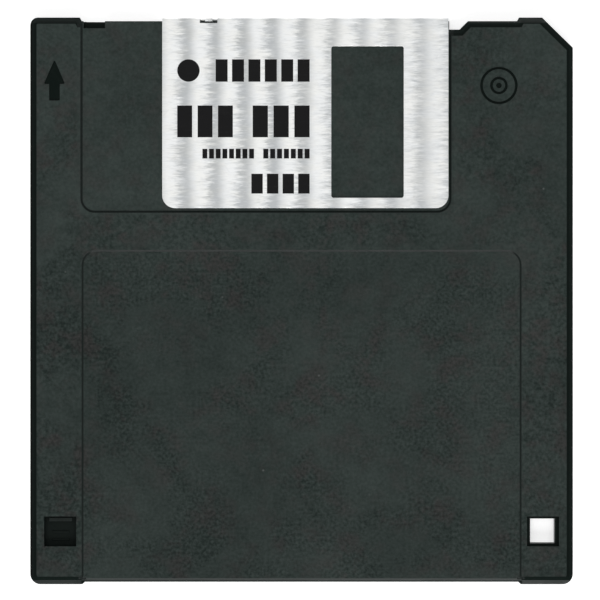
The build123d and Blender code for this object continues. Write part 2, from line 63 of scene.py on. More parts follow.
# Where the case's outer walls and its rear step begin, in mm
OUTER_SIDE = 44.2
OUTER_END = 44.5
REAR_STEP = -46.3
REAR_BEVEL = -45.98
REAR_ROUND = -46.40
FRONT_STEP = 46.0
# LEFT_STEP: where the painted shade along the left edge begins
LEFT_STEP = -44.65

# Where the leaf's dull rear edge begins, in mm
SHUTTER_REAR = 15.5

# The liners' strands, each a direction in degrees and a width in mm, and their bond points
STRANDS = ((20, 0.10), (75, 0.12), (130, 0.09))
BOND_PITCH = 1.9

# Where the lifter is bent, in mm
LIFTER_BEND = (-23.6, -23.2)

# Colours that come in with wear, dust and age, and the painted highlight on the shutter's edges
DUST = (0.10, 0.11, 0.105)
SCRATCHED = (0.085, 0.095, 0.09)
TAB_DARK = (0.0030, 0.0052, 0.0044)
TAB_LIGHT = (0.0082, 0.0108, 0.0098)
WARM_TINT = (1.0, 0.999, 0.984)
COOL_TINT = (0.984, 0.993, 1.0)
EDGE_HIGHLIGHT = (0.95, 0.95, 0.95)
THIN_INK = (0.06, 0.06, 0.062)
HUB_GRIME = (0.52, 0.48, 0.42)
FILM_DUST = (0.10, 0.09, 0.08)
PALE_ADHESIVE = (0.58, 0.52, 0.38)
BUBBLE = (0.7, 0.66, 0.55)
OILED = (0.34, 0.29, 0.22)

# The spring's smoothness: the angle of one step of the coil, and the steps of its moving arm
COIL_STEP = radians(12)
ARM_STEPS = 12

# Studio: the floor's gap under the disk in metres, its glow near the disk and far from it, from
# where to where it changes in mm, and the camera's sensor in mm
FLOOR_GAP = 0.00005
DARK = (0, 0, 0)
NEAR_GLOW = (0.55, 0.55, 0.55)
FAR_GLOW = (1, 1, 1)
GLOW_REACH = (120, 600)
SENSOR = 36

# Each lamp's place and size in metres, and if metal reflects it
LAMPS = {
    "key": ((0, -1.05, 0.98), 0.77, True),
    "overhead": ((0, 0.45, 1.0), 1.1, False),
    "underneath": ((0, 0.05, -1.0), 1.1, False),
}


# Sizes and colours that a user may change


def size_property(title, words, value, low=0.0):
    """A length in metres."""
    return FloatProperty(
        name=title,
        description=words,
        default=value,
        min=low,
        unit="LENGTH",
        precision=5,
    )


def place_property(title, words, value):
    """A point in the frame, in metres."""
    return FloatVectorProperty(
        name=title,
        description=words,
        default=value,
        size=3,
        subtype="TRANSLATION",
        unit="LENGTH",
        precision=5,
    )


def colour_property(title, words, value):
    """A linear colour."""
    return FloatVectorProperty(
        name=title, description=words, default=value, size=3, min=0, max=1, subtype="COLOR"
    )


def share_property(title, words, value, high=1.0):
    """A plain number from 0."""
    return FloatProperty(name=title, description=words, default=value, min=0, max=high)


class CaseFinish(bpy.types.PropertyGroup):
    face_dark: colour_property("Face, dark", "Darker tone of texture", (0.0, 0.0045, 0.003))
    face_light: colour_property("Face, light", "Lighter tone of texture", (0.027, 0.0374, 0.034))
    face_warm: colour_property("Face, warm", "Greyer patches of texture", (0.019, 0.0165, 0.016))
    smooth: colour_property("Smooth", "Polished walls and sunk marks", (0.0006, 0.0033, 0.0023))
    slope: colour_property("Slope", "Sloped walls of the recesses", (0.0075, 0.011, 0.010))
    # painted shade: a dark colour without shine for roundings turned away from the key, the rear
    # bevel and the rear corners' band
    shaded: colour_property("Shaded", "Roundings and the rear bevel", (0.0085, 0.013, 0.0115))
    # painted highlight along the rear step, and the colour of the lighter front ledge
    lighter_step: colour_property("Handled", "Rear step, rubbed by fingers", (0.050, 0.056, 0.054))
    # painted light: the flat ledge is coloured lighter than the walls and roundings of the same
    # plastic
    ledge: colour_property("Ledge", "Flat of the step around each face", (0.003, 0.0062, 0.0052))
    # worn: also the colour of the painted light on the tab's raised bar
    worn_and_lit: colour_property("Worn", "Rubbed edges of the plastic", (0.034, 0.040, 0.038))
    grain: size_property("Grain", "Width of one grain of the texture", 0.00052, 0.00005)
    grain_depth: size_property("Grain depth", "Depth of the moulded texture", 0.000012)
    edge_width: size_property("Edge width", "Width of the softened edges", 0.00012)


class ShutterFinish(bpy.types.PropertyGroup):
    bright: colour_property("Bright", "Metal between the bands", (0.835, 0.84, 0.835))
    # dim: colour of the painted reflection bands, and of the scratches
    dim: colour_property("Dim", "Metal in the middle of a band", (0.455, 0.468, 0.475))
    band_pitch: size_property("Band pitch", "Distance between the rolled bands", 0.0049, 0.0005)
    band_start: size_property("Band start", "First band's distance from the left end", 0.00385)
    streak: size_property("Streak", "Width of one brushed streak", 0.00011, 0.00002)
    ink: colour_property("Ink", "Print on the leaf", (0.0045, 0.0045, 0.0048))


class DiscFinish(bpy.types.PropertyGroup):
    film: colour_property("Film", "Coated film", (0.022, 0.013, 0.0095))
    hub: colour_property("Hub", "Stamped steel", (0.60, 0.585, 0.56))
    adhesive: colour_property("Adhesive", "Adhesive ring", (0.46, 0.40, 0.27))
    fabric: colour_property("Fabric", "Nonwoven liners", (0.80, 0.80, 0.78))
    lifter: colour_property("Lifter", "Lifter's film", (0.62, 0.64, 0.65))


class SpringSizes(bpy.types.PropertyGroup):
    wire: size_property("Wire", "Diameter of the wire", 0.00035, 0.0001)
    coil: size_property("Coil", "Radius of the coil, to the wire's middle", 0.0014, 0.0005)
    pitch: size_property("Pitch", "Rise of the coil in one turn", 0.0004, 0.0001)
    turns: IntProperty(name="Turns", description="Whole turns of the coil", default=1, min=1, max=2)
    held_end: place_property(
        "Held end", "End of the arm that the case holds", (-0.04215, 0.0436, 0.001225)
    )
    apex: place_property("Apex", "Middle of the coil, where it starts", (-0.033, 0.036, 0.001225))
    moving_end: place_property(
        "Moving end", "End of the arm that pushes the shutter", (-0.016225, 0.045, 0.001715)
    )
    steel: colour_property("Steel", "Drawn spring wire", (0.50, 0.49, 0.47))


class StudioSizes(bpy.types.PropertyGroup):
    distance: size_property("Distance", "Camera's height over the label side", 0.48, 0.1)
    width: size_property("Width", "Width of the picture at the label side", 0.09942, 0.01)
    centre_x: size_property("Centre X", "Picture's centre, to the right", -0.00026, -0.1)
    centre_y: size_property("Centre Y", "Picture's centre, to the front", 0.00014, -0.1)
    floor: colour_property("Floor", "Floor and backdrop", (0.90, 0.90, 0.90))
    floor_size: size_property("Floor size", "Side of the floor", 6.0, 0.5)
    key: share_property("Key", "Light from the label's end, in watts", 13.5, 1000)
    overhead: share_property("Overhead", "Light from above, in watts", 5.0, 1000)
    underneath: share_property("Underneath", "Light from below the floor, in watts", 9.0, 1000)
    room: share_property("Room", "Strength of the light from all round", 0.24, 10)


GROUPS = {
    "floppy_case": CaseFinish,
    "floppy_shutter": ShutterFinish,
    "floppy_disc": DiscFinish,
    "floppy_spring": SpringSizes,
    "floppy_studio": StudioSizes,
}


# Shader maths


class Wire:
    """A value in a material's node tree. Python's operators add Math nodes to it."""

    def __init__(self, finish, socket):
        self.finish = finish
        self.socket = socket

    def maths(self, operation, *values):
        return self.finish.node("ShaderNodeMath", {"operation": operation}, dict(enumerate(values)))

    def __add__(self, other):
        return self.maths("ADD", self, other)

    __radd__ = __add__

    def __sub__(self, other):
        return self.maths("SUBTRACT", self, other)

    def __rsub__(self, other):
        return self.maths("SUBTRACT", other, self)

    def __mul__(self, other):
        return self.maths("MULTIPLY", self, other)

    __rmul__ = __mul__

    def __truediv__(self, other):
        return self.maths("DIVIDE", self, other)

    def __pow__(self, other):
        return self.maths("POWER", self, other)

    def __abs__(self):
        return self.maths("ABSOLUTE", self)

    def cosine(self):
        return self.maths("COSINE", self)

    def most(self, other):
        return self.maths("MAXIMUM", self, other)

    def least(self, other):
        return self.maths("MINIMUM", self, other)


class Finish:
    """A procedural material that is built node by node. Points are in mm, in the object's frame."""

    def __init__(self, name):
        self.material = bpy.data.materials.new(name)
        self.material.use_nodes = True
        self.tree = self.material.node_tree
        self.tree.nodes.clear()
        coordinates = self.node("ShaderNodeTexCoord", output="Object")
        self.point = self.vector("SCALE", coordinates, {3: 1 / MM})
        self.x, self.y, self.z = self.split(self.point)
        normal = self.node("ShaderNodeTexCoord", output="Normal")
        self.facing_x, self.facing_y, self.facing_z = self.split(normal)

    def node(self, kind, settings=None, inputs=None, output=0):
        """Adds a node. Its settings are set first, then the values or links of its sockets."""
        node = self.tree.nodes.new(kind)
        for name, value in (settings or {}).items():
            setattr(node, name, value)
        for key, value in (inputs or {}).items():
            if isinstance(value, Wire):
                self.tree.links.new(value.socket, node.inputs[key])
            else:
                node.inputs[key].default_value = value
        return Wire(self, node.outputs[output])

    def vector(self, operation, first, others=None, output=0):
        inputs = {0: first, **(others or {})}
        return self.node("ShaderNodeVectorMath", {"operation": operation}, inputs, output)

    def split(self, value):
        separate = self.node("ShaderNodeSeparateXYZ", inputs={0: value}).socket.node
        return [Wire(self, socket) for socket in separate.outputs]

    def join(self, x, y, z):
        return self.node("ShaderNodeCombineXYZ", inputs={0: x, 1: y, 2: z})

    def stretched(self, x_scale, y_scale, z_scale):
        return self.vector("MULTIPLY", self.point, {1: (x_scale, y_scale, z_scale)})

    def noise(self, size, detail=2.0, roughness=0.5, point=None, distortion=0.0):
        """Soft noise around 0.5, with features of a size in mm."""
        inputs = {
            "Vector": point or self.point,
            "Scale": 1 / size,
            "Detail": detail,
            "Roughness": roughness,
            "Distortion": distortion,
        }
        return self.node("ShaderNodeTexNoise", {"noise_dimensions": "3D"}, inputs, "Fac")

    def cells(self, size, feature="F1", point=None):
        """Distance to the nearest cell centre, or to the cell's edge, in shares of the cell."""
        settings = {"voronoi_dimensions": "3D", "feature": feature}
        inputs = {"Vector": point or self.point, "Scale": 1 / size}
        return self.node("ShaderNodeTexVoronoi", settings, inputs, "Distance")

    def rise(self, value, low, high, start=0.0, end=1.0):
        """Goes smoothly from start to end as the value goes from low to high."""
        return self.node(
            "ShaderNodeMapRange",
            {"interpolation_type": "SMOOTHSTEP"},
            {0: value, 1: low, 2: high, 3: start, 4: end},
        )

    def between(self, value, low, high, edge):
        """1 while the value is between low and high."""
        begun = self.rise(value, low - edge, low + edge)
        ended = self.rise(value, high - edge, high + edge)
        return begun * (1 - ended)

    def mix(self, factor, first, second):
        """A colour from first to second."""
        inputs = {0: factor, 6: self.colour(first), 7: self.colour(second)}
        return self.node("ShaderNodeMix", {"data_type": "RGBA"}, inputs, 2)

    def blend(self, factor, first, second):
        """A surface from first to second."""
        return self.node("ShaderNodeMixShader", None, {0: factor, 1: first, 2: second})

    def shade(self, colour, level):
        """A colour made darker or lighter by a varying level."""
        return self.vector("SCALE", colour, {3: level})

    def colour(self, value):
        return value if isinstance(value, Wire) else (*value, 1)

    def edges(self, width):
        """The normal with every edge softened to a width in mm, and 1 on an edge and 0 off it."""
        soft = self.node("ShaderNodeBevel", {"samples": 4}, {"Radius": width * MM})
        flat = self.node("ShaderNodeNewGeometry", output="True Normal")
        turn = 1 - self.vector("DOT_PRODUCT", soft, {1: flat}, "Value")
        return soft, self.rise(turn, 0.02, 0.28)

    def bump(self, height, depth, normal=None):
        """A normal for heights from 0 to 1, with the depth of the whole range in mm."""
        inputs = {"Height": height, "Distance": depth * MM, "Strength": 1.0}
        if normal is not None:
            inputs["Normal"] = normal
        return self.node("ShaderNodeBump", None, inputs)

    def surface(self, colour, roughness, normal=None, **constants):
        """A principled surface. The keywords are plain numbers for its other sockets."""
        inputs = {"Base Color": self.colour(colour), "Roughness": roughness}
        if normal is not None:
            inputs["Normal"] = normal
        for name, value in constants.items():
            inputs[name.replace("_", " ")] = value
        return self.node("ShaderNodeBsdfPrincipled", None, inputs)

    def done(self, shader):
        end = self.tree.nodes.new("ShaderNodeOutputMaterial")
        self.tree.links.new(shader.socket, end.inputs["Surface"])
        return self.material


def dress(material, *names):
    """Gives CAD nodes a material."""
    for name in names:
        slots = NODES[name].material_slots
        if not slots:
            NODES[name].data.materials.append(material)
        for slot in slots:
            slot.link = "OBJECT"
            slot.material = material


# Finishes


def case_zones(finish):
    """Masks from 0 to 1 that say where each finish of the case lies."""
    height = abs(finish.z - CASE_MIDDLE)
    facing = abs(finish.facing_z)
    side, end = abs(finish.x), abs(finish.y)
    over_inside = finish.rise(height, INSIDE_LEVEL, INSIDE_LEVEL + 0.05)
    flat = finish.rise(facing, 0.93, 0.985) * over_inside
    ledge = flat * finish.between(height, *LEDGE_LEVELS, 0.008)
    mark = flat * finish.between(height, *MARK_LEVELS, 0.008)
    past_side = finish.rise(side, OUTER_SIDE, OUTER_SIDE + 0.2)
    past_end = finish.rise(end, OUTER_END, OUTER_END + 0.2)
    outside = (past_side + past_end).least(1)
    wall = outside * finish.rise(facing, 0.15, 0.35, 1, 0)
    corner = finish.rise(side, LABEL_SIDE - 0.6, LABEL_SIDE - 0.2)
    # painted shade on the band along the rear step at the corners, on the rear rounding and on
    # steep outer roundings
    rear_shade_band = finish.between(finish.y, REAR_STEP, REAR_STEP + 0.6, 0.06)
    rear_round_shade = finish.rise(finish.y, REAR_ROUND - 0.04, REAR_ROUND + 0.04, 1, 0) * (1 - corner)
    steep = finish.rise(facing, 0.70, 0.85, 1, 0)
    turned_away = outside * steep.most(rear_shade_band * corner).most(rear_round_shade)
    step = REAR_BEVEL + corner * (REAR_STEP - REAR_BEVEL)
    # rear: where the painted highlight along the rear step lies
    rear = finish.rise(finish.y - step, -0.08, 0.08, 1, 0) * (1 - turned_away)
    front = finish.rise(finish.y, FRONT_STEP, FRONT_STEP + 0.2) * (1 - turned_away)
    # painted shade along the left edge
    left = finish.rise(finish.x, LEFT_STEP - 0.08, LEFT_STEP + 0.08, 1, 0)
    smooth = (1 - flat + ledge + mark + rear_shade_band * corner).least(1) * (1 - wall)
    beside_label = finish.rise(side, LABEL_SIDE, LABEL_SIDE + 0.1, 1, 0)
    label = finish.between(finish.y, *LABEL_REACH, 0.1) * beside_label
    past_hub = finish.rise(finish.y, TRACK_START, TRACK_START + 0.1)
    track = finish.between(finish.x, *TRACK_REACH, 0.1) * past_hub
    slope = (label + track).least(1) * over_inside
    return ledge, turned_away, rear, front, left, smooth, track, slope


def case_plastic(name, sizes):
    """Spark-eroded black plastic with a grey-green cast, polished in its steps and grooves."""
    finish = Finish(name)
    grain_size = sizes.grain / MM
    ledge, turned_away, rear, front, left, smooth, track, slope = case_zones(finish)

    # Tone of the texture: grain, mottling, and patches where the grain is coarser
    grain = finish.noise(grain_size, 2, 0.55)
    pits = finish.cells(grain_size * 1.7)
    mottle = finish.noise(2.4, 4, 0.6, distortion=0.4)
    cloud = finish.noise(15, 3, 0.6, distortion=0.9)
    coarse = finish.rise(cloud, 0.40, 0.62) * (1 - track * 0.75)
    drift = finish.noise(24, 2, 0.5) - 0.5
    # painted light: the face is made lighter towards the front, with less contrast in its coarse
    # patches
    painted_front_light = finish.rise(finish.y, -10, 42)
    # painted shade: the track's right half, under the shutter around the window, is made darker
    shutter_shade = track * finish.rise(finish.x, -5, 5)
    contrast = 0.95 + coarse * (1.2 - painted_front_light * 0.6)
    tone = 0.5 + (grain - 0.5) * contrast + (mottle - 0.5) * 0.8
    tone = tone - (coarse - 0.5) * 0.12 + drift * 0.9 + painted_front_light * 0.15 - shutter_shade * 0.13
    face = finish.mix(tone, sizes.face_dark, sizes.face_light)
    warm = finish.rise(finish.noise(4.2, 4, 0.65), 0.46, 0.66) * (0.35 + coarse * 0.45)
    greyer = finish.shade(sizes.face_warm, 0.4 + tone * 1.2)
    face = finish.mix(warm * (0.6 + grain * 0.4), face, greyer)

    # Creases darkened with painted shade, specks of dust and hairline scratches
    crease_line = abs(finish.noise(3.2, 3, 0.55, distortion=1.2) - 0.5)
    crease = (1 - finish.rise(crease_line, 0.0, 0.007)) * finish.rise(mottle, 0.52, 0.62)
    face = finish.shade(face, 1 - crease * 0.22)
    speck = 1 - finish.rise(finish.cells(8), 0.012, 0.030)
    face = finish.mix(speck * 0.5, face, DUST)
    hairline = 1 - finish.rise(abs(finish.noise(2.6, 2, 0.5, distortion=2.5) - 0.5), 0.0, 0.006)
    hairline = hairline * finish.rise(finish.noise(6, 3, 0.6), 0.60, 0.66)
    face = finish.mix(hairline * 0.30, face, SCRATCHED)

    soft, edge = finish.edges(sizes.edge_width / MM)
    wear = edge * finish.rise(mottle + grain * 0.4, 0.55, 0.85)
    face = finish.mix(wear * 0.5, face, sizes.worn_and_lit)
    # painted highlight: the textured face is made lighter along the rear step
    face = finish.mix(rear * 0.9, face, sizes.lighter_step)
    height = grain * 0.6 + (1 - pits) * 0.4 - crease * 0.5
    rough_face = 0.60 + (mottle - 0.5) * 0.16 - wear * 0.12 - (1 - coarse) * 0.05
    texture = finish.bump(height, sizes.grain_depth / MM, soft)
    textured = finish.surface(face, rough_face, texture, Specular_IOR_Level=0.18)

    # Polished steps, with a painted highlight along the rear step and lighter on the front ledge
    # towards the right
    hazy = finish.noise(0.8, 2, 0.5)
    rubbed = finish.noise(7, 3, 0.6, finish.stretched(1, 0.2, 0.2))
    # painted light: the flat ledge is coloured lighter than the walls and roundings around it
    dark = finish.mix(ledge, sizes.smooth, sizes.ledge)
    dark = finish.mix(wear * 0.35 + (hazy - 0.5) * 0.12, dark, sizes.worn_and_lit)
    patchy = finish.rise(rubbed, 0.35, 0.6, 0.7, 1)
    uneven = finish.rise(finish.x, -40, 40, 0.55, 1.1)
    # painted highlight along the rear step, patchy and stronger to the right; the front ledge is
    # lighter towards the right
    step_lightening = rear * patchy * uneven + front * finish.rise(finish.x, 20, 30, 0.14, 0.4)
    # painted shade: the polished steps are made darker along the left edge
    dark = finish.shade(finish.mix(step_lightening, dark, sizes.lighter_step), 1 - left * 0.8)
    haze = finish.bump(hazy, 0.002, soft)
    polished = finish.surface(dark, 0.34 + (hazy - 0.5) * 0.15, haze, Specular_IOR_Level=0.07)
    dull = 0.6 + (hazy - 0.5) * 0.2
    # painted shade: turned-away roundings, the rear rounding and the rear corners' band take a dark
    # colour without shine
    shaded = finish.surface(sizes.shaded, dull, soft, Specular_IOR_Level=0.0)
    polished = finish.blend(turned_away, polished, shaded)
    wavy = finish.bump(grain, 0.004, soft)
    drawn = finish.surface(sizes.slope, 0.30 + (hazy - 0.5) * 0.2, wavy, Specular_IOR_Level=0.09)
    polished = finish.blend(slope, polished, drawn)
    return finish.done(finish.blend(smooth, textured, polished))


def tab_plastic(name, sizes):
    """The same black plastic, rubbed where a thumbnail slides it, with painted light on its raised
    bar.
    """
    finish = Finish(name)
    grain = finish.noise(0.35, 3, 0.6)
    rub = finish.noise(1.6, 3, 0.6, finish.stretched(1, 0.25, 1))
    soft, edge = finish.edges(sizes.edge_width / MM)
    lit_bar = finish.rise(finish.z, CASE_MIDDLE + 0.5, CASE_MIDDLE + 0.55)
    below = finish.rise(finish.z, CASE_MIDDLE - 0.6, CASE_MIDDLE - 0.3, 1, 0)
    # painted light on the raised bar; the edges and the part below the middle are lighter too
    wear = (edge * 0.12 + lit_bar * (0.1 + rub * 0.6) + below * (0.2 + edge * 0.4)).least(1)
    colour = finish.mix(wear, finish.mix(grain, TAB_DARK, TAB_LIGHT), sizes.worn_and_lit)
    rough = 0.50 + (rub - 0.5) * 0.2
    normal = finish.bump(grain, 0.006, soft)
    return finish.done(finish.surface(colour, rough, normal, Specular_IOR_Level=0.04))


def shutter_metal(name, sizes):
    """Thin rolled sheet, brushed along the slide, with the roll's faint upright bands, as a real
    wave in the bump and as painted reflection bands in the colour.
    """
    finish = Finish(name)
    left = SHUTTER_BOX[0].x / MM
    length = (SHUTTER_BOX[1].x - SHUTTER_BOX[0].x) / MM
    pitch = sizes.band_pitch / MM
    streak = sizes.streak / MM
    fine = finish.noise(1, 4, 0.7, finish.stretched(0.8, 0.6 / streak, 0.6 / streak))
    coarse = finish.noise(1, 3, 0.6, finish.stretched(0.4, 0.25 / streak, 0.25 / streak))
    sway = finish.noise(9, 2, 0.5, finish.stretched(0.35, 1, 1)) - 0.5
    ripple = finish.noise(1.6, 2, 0.6, finish.stretched(0.12, 1, 1)) - 0.5
    along = finish.x - left - sizes.band_start / MM + sway * 1.0 + ripple * 0.25
    along = along + (coarse - 0.5) * 2.6 + (fine - 0.5) * 1.4
    wave = (along * (2 * pi / pitch)).cosine() * 0.5 + 0.5
    band = wave ** 1.3
    strength = finish.rise(finish.x - left, 0.35 * length, 0.95 * length, 1.0, 0.60)
    long_cloud = finish.noise(1, 2, 0.5, finish.stretched(0.05, 0.35, 0.35))
    brushed = (fine - 0.5) * 1.9 + (coarse - 0.5) * 1.6
    dull = finish.rise(finish.x - left, 0.6 * length, 0.9 * length) * 0.16
    dull = dull + finish.rise(finish.y, SHUTTER_REAR, SHUTTER_REAR + 2.5, 0.14, 0)
    # painted reflection: the bands darken the colour, fading towards the right end
    factor = 0.05 + band * strength * 0.9 + brushed * 0.6 + (long_cloud - 0.5) * 0.3 + dull
    metal = finish.mix(factor, sizes.bright, sizes.dim)
    tint = finish.rise(finish.noise(1, 3, 0.6, finish.stretched(0.3, 0.5, 0.5)), 0.38, 0.62)
    metal = finish.vector("MULTIPLY", metal, {1: finish.mix(tint, WARM_TINT, COOL_TINT)})
    soft, edge = finish.edges(0.09)
    # painted highlight along the shutter's edges
    metal = finish.mix(edge * 0.2, metal, EDGE_HIGHLIGHT)
    scratch_line = finish.cells(1, "DISTANCE_TO_EDGE", finish.stretched(0.05, 0.9, 0.9))
    scratch = 1 - finish.rise(scratch_line, 0.0, 0.012)
    metal = finish.mix(scratch * 0.12, metal, sizes.dim)
    rough = 0.33 + (fine - 0.5) * 0.22 + band * 0.05
    height = fine * 0.5 + coarse * 0.3 - scratch * 0.3
    waved = finish.bump(1 - wave, 0.006, soft)
    normal = finish.bump(height, 0.0022, waved)
    return finish.done(finish.surface(metal, rough, normal, Metallic=1.0))


def print_ink(name, sizes):
    """Screen-printed black ink, a little thin over the brushed metal."""
    finish = Finish(name)
    screen = finish.noise(0.12, 2, 0.6)
    streaks = finish.noise(1, 3, 0.6, finish.stretched(0.3, 6, 6))
    thin = finish.rise(screen * 0.5 + streaks * 0.5, 0.56, 0.74)
    colour = finish.mix(thin * 0.35, sizes.ink, THIN_INK)
    rough = 0.46 + (screen - 0.5) * 0.2
    normal = finish.bump(streaks, 0.003)
    return finish.done(finish.surface(colour, rough, normal, Specular_IOR_Level=0.1))


def turned_rings(finish, ring, wobble=0.6):
    """Noise in rings round the middle of the disc, each about as wide as ring, in mm."""
    radius = finish.vector("LENGTH", finish.join(finish.x, finish.y, 0.0), output="Value")
    drift = finish.noise(6, 2, 0.5) * wobble
    along = finish.join(radius / ring + drift, drift, finish.z * 0.2)
    return radius, finish.noise(1, 4, 0.65, along)


def hub_metal(name, colours):
    """Plated steel with the fine rings of its turning, and a ring rubbed by the drive."""
    finish = Finish(name)
    radius, rings = turned_rings(finish, 0.16)
    cloud = finish.noise(3.5, 3, 0.6)
    rub = finish.between(radius, 3.4, 6.2, 0.5) * finish.rise(rings, 0.4, 0.7)
    grime = finish.rise(cloud, 0.55, 0.8)
    soft, edge = finish.edges(0.12)
    level = 0.86 + (rings - 0.5) * 0.35 + rub * 0.1 + edge * 0.15 - grime * 0.12
    metal = finish.shade(finish.mix(grime * 0.3, colours.hub, HUB_GRIME), level)
    rough = 0.30 + (rings - 0.5) * 0.18 + grime * 0.12
    normal = finish.bump(rings, 0.004, soft)
    return finish.done(finish.surface(metal, rough, normal, Metallic=1.0))


def disc_film(name, colours):
    """Brown-black oxide coating, burnished in rings."""
    finish = Finish(name)
    radius, rings = turned_rings(finish, 0.35, 0.3)
    track = finish.noise(1, 2, 0.5, finish.join(radius / 2.6, 0.0, 0.0))
    dust = 1 - finish.rise(finish.cells(2.2), 0.02, 0.05)
    level = 0.85 + (rings - 0.5) * 0.5 + (track - 0.5) * 0.6
    colour = finish.mix(dust * 0.3, finish.shade(colours.film, level), FILM_DUST)
    rough = 0.17 + (rings - 0.5) * 0.10 + (track - 0.5) * 0.06 + dust * 0.2
    normal = finish.bump(rings, 0.0008)
    return finish.done(finish.surface(colour, rough, normal, Specular_IOR_Level=0.6))


def liner_fabric(name, colours):
    """Thermally bonded fibres, with a diamond of bond points."""
    finish = Finish(name)
    fibres = None
    for turn, size in STRANDS:
        angle = radians(turn)
        along = finish.x * cos(angle) + finish.y * sin(angle)
        across = finish.y * cos(angle) - finish.x * sin(angle)
        strand = finish.noise(1, 3, 0.6, finish.join(along * 0.5, across / size, finish.z))
        fibres = strand if fibres is None else fibres.most(strand)
    diagonal = (finish.x + finish.y) * (2 * pi / BOND_PITCH)
    crossing = (finish.x - finish.y) * (2 * pi / BOND_PITCH)
    bond = finish.rise(diagonal.cosine() * crossing.cosine(), 0.72, 0.92)
    lint = finish.noise(5, 3, 0.6)
    level = 0.62 + fibres * 0.52 - bond * 0.16 + (lint - 0.5) * 0.12
    colour = finish.shade(colours.fabric, level)
    height = fibres - bond * 0.8
    normal = finish.bump(height, 0.05)
    return finish.done(finish.surface(colour, 0.88 - bond * 0.25, normal, Specular_IOR_Level=0.15))


def adhesive_film(name, colours):
    """A thin yellowed adhesive ring with small trapped bubbles."""
    finish = Finish(name)
    bubble = 1 - finish.rise(finish.cells(0.7), 0.10, 0.22)
    age = finish.noise(4, 3, 0.6)
    colour = finish.mix(age, colours.adhesive, PALE_ADHESIVE)
    colour = finish.mix(bubble * 0.3, colour, BUBBLE)
    normal = finish.bump(1 - bubble, 0.01)
    return finish.done(finish.surface(colour, 0.38 + (age - 0.5) * 0.2, normal))


def lifter_film(name, colours):
    """Milky film with the faint lines of its rolling."""
    finish = Finish(name)
    lines = finish.noise(1, 3, 0.6, finish.stretched(5, 0.15, 1))
    haze = finish.noise(3, 2, 0.5)
    crease = finish.between(finish.x, *LIFTER_BEND, 0.1)
    level = 0.88 + (lines - 0.5) * 0.2 + (haze - 0.5) * 0.15 + crease * 0.1
    colour = finish.shade(colours.lifter, level)
    rough = 0.32 + (haze - 0.5) * 0.16
    normal = finish.bump(lines, 0.004)
    return finish.done(finish.surface(colour, rough, normal, Coat_Weight=0.1))


def spring_steel(name, sizes):
    """Drawn wire with long die marks and a little oil."""
    finish = Finish(name)
    marks = finish.noise(1, 4, 0.7, finish.stretched(3, 3, 18))
    oil = finish.noise(1.8, 3, 0.6)
    level = 0.85 + (marks - 0.5) * 0.5
    colour = finish.shade(finish.mix(oil * 0.4, sizes.steel, OILED), level)
    rough = 0.26 + (marks - 0.5) * 0.2 + (oil - 0.5) * 0.12
    return finish.done(finish.surface(colour, rough, finish.bump(marks, 0.004), Metallic=1.0))


def studio_white(name, colour):
    """Pale floor that takes shadows and runs to white in the picture."""
    finish = Finish(name)
    path = finish.node("ShaderNodeLightPath", output="Is Camera Ray")
    rays = path.socket.node.outputs
    seen = path.most(Wire(finish, rays["Is Glossy Ray"]))
    seen = seen.most(Wire(finish, rays["Is Transmission Ray"]))
    cloth = finish.noise(40, 3, 0.5)
    far = finish.rise(finish.vector("LENGTH", finish.point, output="Value"), *GLOW_REACH)
    glow = finish.mix(far, NEAR_GLOW, FAR_GLOW)
    lit = finish.node(
        "ShaderNodeBsdfPrincipled",
        None,
        {
            "Base Color": finish.colour(finish.shade(colour, 0.99 + (cloth - 0.5) * 0.02)),
            "Roughness": 0.7,
            "Specular IOR Level": 0.1,
            "Emission Color": finish.mix(seen, DARK, glow),
            "Emission Strength": 1.0,
        },
    )
    away = finish.node("ShaderNodeNewGeometry", output="Backfacing")
    clear = finish.node("ShaderNodeBsdfTransparent")
    return finish.done(finish.node("ShaderNodeMixShader", None, {0: away, 1: lit, 2: clear}))


# Operators


def select_only(*objects):
    """Selects these objects and makes the first one active."""
    bpy.ops.object.select_all(action="DESELECT")
    for item in objects:
        item.select_set(True)
    bpy.context.view_layer.objects.active = objects[0]


def apply_place(item):
    """Puts the object at the origin, with its place in its mesh."""
    select_only(item)
    bpy.ops.object.transform_apply(location=True, rotation=True, scale=True)


class FLOPPY_OT_case(bpy.types.Operator):
    """Finish both shells of the case and the write protect tab"""

    bl_idname = "floppy.case"
    bl_label = "Finish Case"

    def execute(self, context):
        sizes = context.scene.floppy_case
        dress(case_plastic("Textured Plastic", sizes), "upper_shell", "lower_shell")
        dress(tab_plastic("Tab Plastic", sizes), "write_protect_tab")
        return {"FINISHED"}


class FLOPPY_OT_shutter(bpy.types.Operator):
    """Finish the sliding shutter and the print on its front leaf"""

    bl_idname = "floppy.shutter"
    bl_label = "Finish Shutter"

    def execute(self, context):
        sizes = context.scene.floppy_shutter
        dress(shutter_metal("Brushed Shutter", sizes), "shutter")
        dress(print_ink("Black Ink", sizes), "shutter_print")
        return {"FINISHED"}


class FLOPPY_OT_disc(bpy.types.Operator):
    """Finish the disc, its hub and what it turns between"""

    bl_idname = "floppy.disc"
    bl_label = "Finish Disc"

    def execute(self, context):
        colours = context.scene.floppy_disc
        dress(hub_metal("Hub Steel", colours), "hub")
        dress(disc_film("Disc Film", colours), "magnetic_disc")
        dress(adhesive_film("Adhesive", colours), "hub_adhesive_ring")
        dress(liner_fabric("Liner Fabric", colours), "upper_liner", "lower_liner")
        dress(lifter_film("Lifter Film", colours), "lifter")
        return {"FINISHED"}


